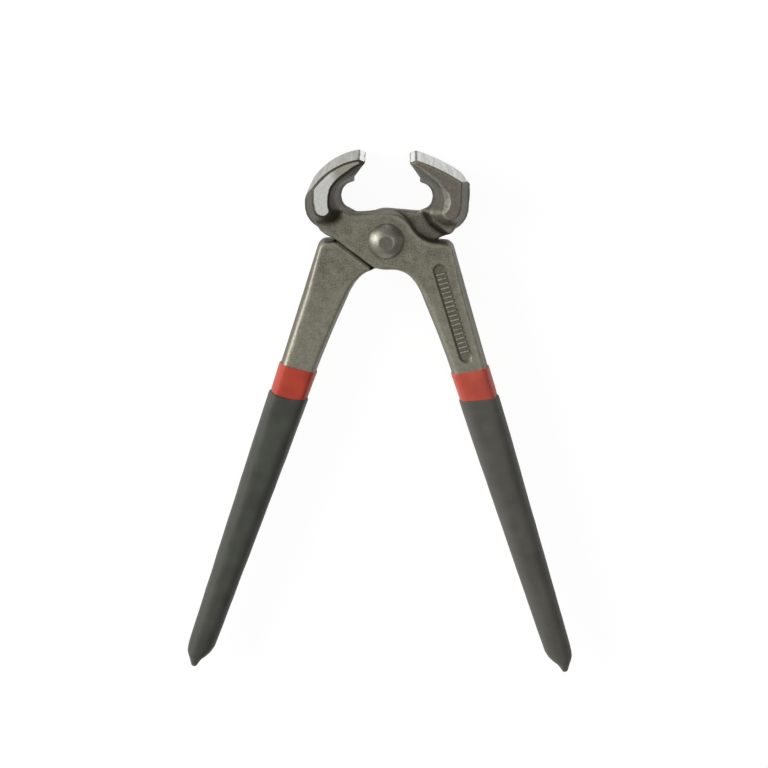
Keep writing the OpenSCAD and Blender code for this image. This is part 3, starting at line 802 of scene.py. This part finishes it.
# %% Ribs in the panel
RIB_W = 3.5
RIB_LEN = 0.85
RIB_H = 0.55
RIB_TOP_W = 3.2
RIB_TOP_LEN = 0.68
RIB_PITCH = 1.7
RIB_COUNT = 18
RIB_ROUND = 0.2
RIB_SINK = 0.03


def rib_bar():
    made = bmesh.new()
    bmesh.ops.create_cube(made, size=1.0)
    for v in made.verts:
        wide, long = (RIB_TOP_W, RIB_TOP_LEN) if v.co.z > 0 else (RIB_W, RIB_LEN)
        v.co = mm(v.co.x * wide, v.co.y * long, v.co.z * RIB_H)
    upper = [e for e in made.edges if any(v.co.z > 0 for v in e.verts)]
    bmesh.ops.bevel(made, geom=upper, offset=RIB_ROUND * MM, segments=3, profile=0.5, affect="EDGES")
    return bpy.data.objects.new("rib_bar", mesh_of("rib_bar", made))


def rib_tree():
    group = bpy.data.node_groups.new("rib_row", "GeometryNodeTree")
    face = group.interface
    sockets = {}
    for label, kind in (("Rib", "Object"), ("Count", "Int"), ("Pitch", "Float"), ("Finish", "Material")):
        made = face.new_socket(label, in_out="INPUT", socket_type="NodeSocket" + kind)
        sockets[label] = made.identifier
    face.new_socket("Geometry", in_out="OUTPUT", socket_type="NodeSocketGeometry")
    given = add(group, "NodeGroupInput").outputs
    step = add(group, "ShaderNodeCombineXYZ", {"Y": given["Pitch"]}).outputs[0]
    reach = add(group, "ShaderNodeMath", {0: given["Count"], 1: -1.0}, operation="ADD").outputs[0]
    half_reach = add(group, "ShaderNodeMath", {0: reach, 1: -0.5}, operation="MULTIPLY").outputs[0]
    start = add(group, "ShaderNodeVectorMath", {0: step, "Scale": half_reach}, operation="SCALE").outputs[0]
    row = add(group, "GeometryNodeMeshLine", {
        "Count": given["Count"], "Start Location": start, "Offset": step}).outputs[0]
    bar = add(group, "GeometryNodeObjectInfo", {"Object": given["Rib"]}).outputs["Geometry"]
    copies = add(group, "GeometryNodeInstanceOnPoints", {"Points": row, "Instance": bar}).outputs[0]
    real = add(group, "GeometryNodeRealizeInstances", {"Geometry": copies}).outputs[0]
    dressed = add(group, "GeometryNodeSetMaterial", {
        "Geometry": real, "Material": given["Finish"]}).outputs[0]
    add(group, "NodeGroupOutput", {"Geometry": dressed})
    return group, sockets


rib_group, rib_sockets = rib_tree()
rib = rib_bar()
seat = Matrix.Translation(mm(0, 0, RIB_H / 2 - PANEL_DEPTH - RIB_SINK))
for body in ("front", "rear"):
    ribs = linked(body + "_panel_ribs", bpy.data.meshes.new(body + "_panel_ribs"))
    row = ribs.modifiers.new("row", "NODES")
    row.node_group = rib_group
    for label, value in (("Rib", rib), ("Count", RIB_COUNT), ("Pitch", RIB_PITCH * MM), ("Finish", rubbed_and_highlit)):
        row[rib_sockets[label]] = value
    baked(ribs)
    ribs.data.transform(PLACE[body] @ PANEL @ seat)
    smoothed(ribs.data)
    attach(ribs, body)
    print(ribs.name, len(ribs.data.polygons), "faces")

# %% [markdown]
# The handles were dipped twice: first in red plastic, then less deep in dark plastic. A liquid coat rounds
# the steel's edges, and more so where it is thicker and where the handle is thin. Its top line isn't
# straight, because the handle hung at an angle and the plastic climbed a little at the edges, and it ends
# in a soft lip. At the bottom the last drop set as a small nub. The steel's own skin could be thickened, but
# that would keep its edges. So each coat is one closed skin through many sections, which goes up the
# inside, over the lip and down the outside.

# %% Steel and grip by their depth below the pivot
SHOULDER_X = 22.3
SHOULDER_DROP = 6.2
HANDLE_LEAN = math.radians(2.25)
HANDLE_W = 13.1
ROOT_SWELL = 3.6
HANDLE_END_W = 7.9
STEEL_END_LEN = 8.0
BAND_TOP = 52.0
BAND_LEN = 10.7
HANDLE_LEN = 169.0
NUB_LEN = 9.0
TAPER_FROM = STEEL_END - STEEL_END_LEN
# Share of the length, and what the inner and the outer side have come in there, in shares of the width
STEEL_END_SHARES = [(0, 0, 0), (0.5, 0.08, 0.04), (0.81, 0.18, 0.11), (1, 0.3, 0.2)]
# The same for the nub, with the share of the thickness that is left
NUB_SHARES = [
    (0, 0, 0, 1), (0.25, 0.09, 0.005, 0.99), (0.45, 0.21, 0.03, 0.95), (0.6, 0.33, 0.1, 0.87),
    (0.7, 0.385, 0.16, 0.76), (0.8, 0.42, 0.21, 0.64), (0.89, 0.455, 0.265, 0.52),
    (0.95, 0.465, 0.275, 0.42), (0.985, 0.485, 0.3, 0.34), (1, 0.505, 0.33, 0.24),
]
SHARE_SPREAD = 0.03


def straight_sides(depth):
    outer = SHOULDER_X + (depth - SHOULDER_DROP) * math.tan(HANDLE_LEAN)
    taper = (depth - BAND_TOP) / (TAPER_FROM - BAND_TOP)
    swell = ROOT_SWELL * max(0.0, 1 - depth / BAND_TOP) ** 2
    return outer - (HANDLE_W + (HANDLE_END_W - HANDLE_W) * taper + swell), outer


def shares_at(table, share):
    """The table's columns at a share of its length, rounded a little between the rows."""
    rows = np.array(table, float)
    near = np.clip(share + np.linspace(-SHARE_SPREAD, SHARE_SPREAD, 5), 0, 1)
    return [float(np.interp(near, rows[:, 0], column).mean()) for column in rows[:, 1:].T]


def steel_at(depth):
    """Inner side, outer side and half thickness of the steel."""
    inner, outer = straight_sides(min(depth, TAPER_FROM))
    a, b = shares_at(STEEL_END_SHARES, (depth - TAPER_FROM) / STEEL_END_LEN)
    return inner + a * HANDLE_END_W, outer - b * HANDLE_END_W, half_t(depth)


def grip_at(depth, skin):
    start = HANDLE_LEN - NUB_LEN
    inner, outer = straight_sides(min(depth, start))
    inner, outer, half = inner - skin, outer + skin, half_t(min(depth, start)) + skin
    a, b, tall = shares_at(NUB_SHARES, (depth - start) / NUB_LEN)
    wide = outer - inner
    return inner + a * wide, outer - b * wide, half * tall


# %% [markdown]
# A section is a square with rounded corners, whose power says how square it is: 2 is an ellipse, and 7 is
# nearly a box. Rounded corners of one radius could do as well, but a liquid skin has no line where its flat
# ends. The plastic ran while it set, so each section is also a little thinner here and there.

# %% Rounded cross sections
RING_POINTS = 96
SIDE_DRAFT = math.tan(math.radians(13))
DRAFT_LOST = 0.6            # of the draft, by the end of the grip
DRAFT_LIMIT = 0.3           # of half the width
RUN_HEIGHT = 0.16
RUN_LENGTH = 14.0
RUN_WIDTH = RUN_LENGTH / 3
RUN_HALF = 3.0              # the waves stay small on a half thickness below this


def section(depth, sides, power, seed, sag_at):
    """One closed ring of points round the handle, in the lever's millimetres."""
    inner, outer, half = sides
    low = min(1.0, max(0.0, (depth - BAND_TOP) / (HANDLE_LEN - BAND_TOP)))
    turns = np.linspace(0, 2 * math.pi, RING_POINTS, endpoint=False)
    across, up = np.cos(turns), np.sin(turns)
    across = np.sign(across) * np.abs(across) ** (2 / power)
    z = half * np.sign(up) * np.abs(up) ** (2 / power)
    wide, middle = (outer - inner) / 2, (inner + outer) / 2
    reach = wide - np.minimum(np.abs(z) * SIDE_DRAFT * (1 - DRAFT_LOST * low), DRAFT_LIMIT * wide)
    points = []
    for u, px, pz in zip(across, middle + across * reach, z):
        spot = Vector((px / RUN_WIDTH, depth / RUN_LENGTH, pz / RUN_WIDTH + seed))
        thin = 1 - RUN_HEIGHT / max(half, RUN_HALF) * abs(noise.noise(spot))
        points.append(((px - middle) * thin + middle, -depth - sag_at(u, pz / half), pz * thin))
    return points


def power_at(depth, top, end):
    """How square the section is: it turns rounder down the handle."""
    share = min(1.0, max(0.0, (depth - BAND_TOP) / (HANDLE_LEN - NUB_LEN - BAND_TOP)))
    return top + (end - top) * share


# %% [markdown]
# The top line of a coat is level in the bath, so on the handle it slants. It climbs at the two edges and
# sags between them, and small waves run along it. The line straightens out over the first centimetre.

# %% A dipped coat
LIP_LEN = 0.8
LIP_STEPS = 6
NUB_STEPS = 26
STATION = 1.0
INNER_STATION = 3.0
INNER_SHORT = 0.5
EVEN_OUT = 10.0
LINE_WAVE = 0.22
LINE_WAVES = 2.3


def dip_line(slant, sag, seed):
    def line(u, v):
        wave = LINE_WAVE * noise.noise(Vector((LINE_WAVES * u, LINE_WAVES * v, seed)))
        return slant * u + sag * (1 - u * u) + wave
    return line


def coat(name, body, top, end, inside, outside, line, finish, seed):
    """A skin between two families of sections: each gives its sides and its power at a depth."""
    rings = []

    def ring(depth, sides, power, share=None):
        even = max(0.0, 1 - (depth - top) / EVEN_OUT) if share is None else share
        points = section(depth, sides, power, seed, lambda u, v: even * line(u, v))
        rings.append([PLACE[body] @ mm(*p) for p in points])

    for depth in np.arange(min(end - INNER_SHORT, STEEL_END), top, -INNER_STATION):
        ring(depth, *inside(depth))
    lip_in, power_in = inside(top)
    lip_out, power_out = outside(top + LIP_LEN)
    for i in range(LIP_STEPS + 1):
        turn = math.pi / 2 * i / LIP_STEPS
        grow = math.sin(turn)
        sides = [a + (b - a) * grow for a, b in zip(lip_in, lip_out)]
        ring(top + LIP_LEN * (1 - math.cos(turn)), sides, power_in + (power_out - power_in) * grow, 1.0)
    for depth in np.concatenate([np.arange(top + LIP_LEN + STATION, end - NUB_LEN, STATION),
                                 end - NUB_LEN * np.cos(np.linspace(0, math.pi / 2, NUB_STEPS))]):
        ring(depth, *outside(depth))
    mesh = smoothed(ring_mesh(name, rings, finish))
    print(name, len(mesh.polygons), "faces,", len(rings), "rings")
    return linked(name, mesh)


# %% [markdown]
# The red coat is thin and follows the steel. The dark one over it is thicker, above all past its lip, and
# runs into the nub. Each starts a hair off what it covers, so that no two skins lie in one place.

# %% Red and dark coats
UNDER_T = 0.35
GRIP_T = 0.6
BOND = 0.02
GRIP_TOP = BAND_TOP + BAND_LEN
LIP_SHARE = 0.75            # of the dark coat's thickness is there at its lip
FULL_AFTER = 15.0
LIP_SQUARE = 1.6            # the dark coat is that much squarer at its lip
NUB_SHY = 0.15
RED_LINE = 1 / 3            # the red coat's line slants and sags that much as far as the dark one's
NEXT_SEED = 5
DIPS = {"front": (0.8, 0.15, 3.0), "rear": (0.3, 0.5, 8.0)}     # slant, sag and seed of the dark line


def grown_steel(depth, skin, power):
    inner, outer, half = steel_at(min(depth, STEEL_END))
    return (inner - skin, outer + skin, half + skin), power


def under_outside(depth):
    return grown_steel(depth, UNDER_T, power_at(depth, 6.2, 4.0))


def under_inside(depth):
    return grown_steel(depth, BOND, power_at(depth, 7.5, 4.0))


def grip_inside(depth):
    return grown_steel(depth, UNDER_T + BOND, power_at(depth, 7.0, 4.0))


def grip_outside(depth):
    """The dark coat is thinnest at its lip and full a little further down."""
    grown = min(1.0, max(0.0, (depth - GRIP_TOP) / FULL_AFTER))
    skin = UNDER_T + GRIP_T * (LIP_SHARE + (1 - LIP_SHARE) * grown)
    return grip_at(depth, skin), power_at(depth, 4.2, 2.5) + LIP_SQUARE * (1 - grown)


for body, (tilt, sag, seed) in DIPS.items():
    red = coat(body + "_red_coat", body, BAND_TOP, STEEL_END + UNDER_T, under_inside, under_outside,
               dip_line(tilt * RED_LINE, sag * RED_LINE, seed), red_vinyl[body], seed)
    dark = coat(body + "_dark_coat", body, GRIP_TOP, HANDLE_LEN - NUB_SHY, grip_inside, grip_outside,
                dip_line(tilt, sag, seed + NEXT_SEED), dark_vinyl[body], seed + NEXT_SEED)
    for made, node, slot in ((red, "_under_dip", "red_dip"), (dark, "_grip", "dark_dip")):
        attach(made, body)
        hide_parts(body + node)

# %% [markdown]
# The rivet was set with a hammer and a punch. Each head is a smooth dome with a small flat in its middle,
# whose edge is soft and whose floor the punch left slightly dished. A ball cut flat could pass for it, but a
# profile turned round the pivot gives rim, dome, flat and shank in one skin, and each of its points can
# then be dented.

# %% Pivot rivet
RIVET_HEAD_R = 6.15
RIVET_DOME = 3.3
RIVET_RIM = 0.4
RIVET_CHAMFER = (0.15, 0.12)
RIVET_FLAT_R = 2.45
RIVET_SHANK_R = 3.5
FLAT_SOFT = 0.25
FLAT_EDGE = [(0.0, 0.05), (0.2, 0.03), (0.45, 0.03)]    # steps in from the flat's edge, and their drops
DISH = 0.03
DISH_SHARES = (0.6, 0.35, 0.1)
HEAD_GAP = 0.03
HAMMERED = 0.05
HAMMER_MARK = 2.6
HAMMER_PULL = 6
DOME_STEPS = 16
TURN_STEPS = 96


def rivet_profile():
    """Radius and height points of one head, from the middle of the shank to the centre of the flat."""
    rise = RIVET_DOME - RIVET_RIM
    centre = (RIVET_FLAT_R ** 2 + rise ** 2 - RIVET_HEAD_R ** 2) / (2 * rise)
    dome_r = math.hypot(RIVET_HEAD_R, centre)
    seat = JOINT_HALF + HEAD_GAP
    points = [(RIVET_SHANK_R, 0.0), (RIVET_SHANK_R, seat), (RIVET_HEAD_R - RIVET_CHAMFER[0], seat),
              (RIVET_HEAD_R, seat + RIVET_CHAMFER[1])]
    low = math.atan2(-centre, RIVET_HEAD_R)
    high = math.atan2(rise - centre, RIVET_FLAT_R + FLAT_SOFT)
    for i in range(DOME_STEPS + 1):
        a = low + (high - low) * i / DOME_STEPS
        points.append((dome_r * math.cos(a), seat + RIVET_RIM + centre + dome_r * math.sin(a)))
    top = seat + RIVET_DOME
    points += [(RIVET_FLAT_R - step, top - drop) for step, drop in FLAT_EDGE]
    points += [(RIVET_FLAT_R * share, top - DISH - DISH * (1 - share)) for share in DISH_SHARES]
    return points


def hammered(x, y, z):
    dent = 0.0
    if abs(z) > JOINT_HALF + RIVET_RIM:
        dent = HAMMERED * abs(noise.noise(Vector((x, y, z)) / HAMMER_MARK))
    pull = 1 - dent / HAMMER_PULL
    return PLACE["front"] @ mm(x * pull, y * pull, z - math.copysign(dent, z))


upper = rivet_profile()
turns = [2 * math.pi * i / TURN_STEPS for i in range(TURN_STEPS)]
rivet_rings = [[hammered(r * math.cos(a), r * math.sin(a), z) for a in turns]
               for r, z in [(r, -z) for r, z in upper[:0:-1]] + upper]
rivet_skin = linked("rivet_skin", smoothed(ring_mesh("rivet_skin", rivet_rings, rivet_finish)))
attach(rivet_skin, "front")
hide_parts("pivot_rivet")
print("rivet", len(rivet_skin.data.polygons), "faces")

# %% [markdown]
# The floor is a plain white table top. The lamps would leave it light grey, so what the camera and the
# reflections see of it gets a glow of its own, which lights nothing, and the tool's shadow still falls on
# it. Stronger lamps could whiten it too, but they would bleach the steel.

# %% Floor
FLOOR_SIZE = 12.0
FLOOR_GLOW = 0.85
GLOW_STRENGTH = 1.1


def white_floor():
    material, tree = new_material("white_table_top")
    ray = add(tree, "ShaderNodeLightPath").outputs
    seen = ray["Is Camera Ray"]
    for kind in ("Is Glossy Ray", "Is Transmission Ray"):
        seen = add(tree, "ShaderNodeMath", {0: seen, 1: ray[kind]}, operation="MAXIMUM").outputs[0]
    share = add(tree, "ShaderNodeMath", {0: seen, 1: FLOOR_GLOW}, operation="MULTIPLY")
    matt = add(tree, "ShaderNodeBsdfDiffuse", {"Color": linear("#e8e8e6")})
    glow = add(tree, "ShaderNodeEmission", {"Color": (1, 1, 1, 1), "Strength": GLOW_STRENGTH})
    mix = add(tree, "ShaderNodeMixShader", {0: share.outputs[0], 1: matt.outputs[0], 2: glow.outputs[0]})
    add(tree, "ShaderNodeOutputMaterial", {"Surface": mix.outputs[0]})
    return material


floor_mesh = bpy.data.meshes.new("table_top")
corners = [(x * FLOOR_SIZE / 2, y * FLOOR_SIZE / 2, 0) for x, y in ((-1, -1), (1, -1), (1, 1), (-1, 1))]
floor_mesh.from_pydata(corners, [], [(0, 1, 2, 3)])
floor_mesh.materials.append(white_floor())
linked("table_top", floor_mesh)
print("table top", FLOOR_SIZE, "m wide")

# %% [markdown]
# The studio is brighter on the left, where a window stands, than on the right. One large lamp stands in
# for the window, and a weak one above fills the shadows.

# %% World and lamps
WINDOW_TURN = 0.7           # how far to the side the studio is at its brightest, and at its dimmest
WINDOW_LEVEL = 0.5
DIM_LEVEL = 0.14

world = bpy.data.worlds.new("studio")
bpy.context.scene.world = world
world.use_nodes = True
studio = world.node_tree
studio.nodes.clear()
aim = add(studio, "ShaderNodeSeparateXYZ", {0: add(studio, "ShaderNodeTexCoord").outputs["Generated"]})
level = add(studio, "ShaderNodeMapRange", {
    "Value": aim.outputs["X"], "From Min": WINDOW_TURN, "From Max": -WINDOW_TURN,
    "To Min": DIM_LEVEL, "To Max": WINDOW_LEVEL})
sky = add(studio, "ShaderNodeBackground", {"Color": (1, 1, 1, 1), "Strength": level.outputs[0]})
add(studio, "ShaderNodeOutputWorld", {"Surface": sky.outputs[0]})


def softbox(name, place, size, power):
    data = bpy.data.lights.new(name, "AREA")
    data.shape = "SQUARE"
    data.size = size
    data.energy = power
    lamp = bpy.data.objects.new(name, data)
    lamp.location = place
    lamp.rotation_euler = (pivot - Vector(place)).to_track_quat("-Z", "Y").to_euler()
    bpy.context.scene.collection.objects.link(lamp)
    print(name, "at", place)


softbox("window_left", place=(-1.5, 0.35, 0.75), size=1.1, power=19.0)
softbox("fill_right", place=(0.6, 0.1, 1.3), size=0.8, power=2.6)
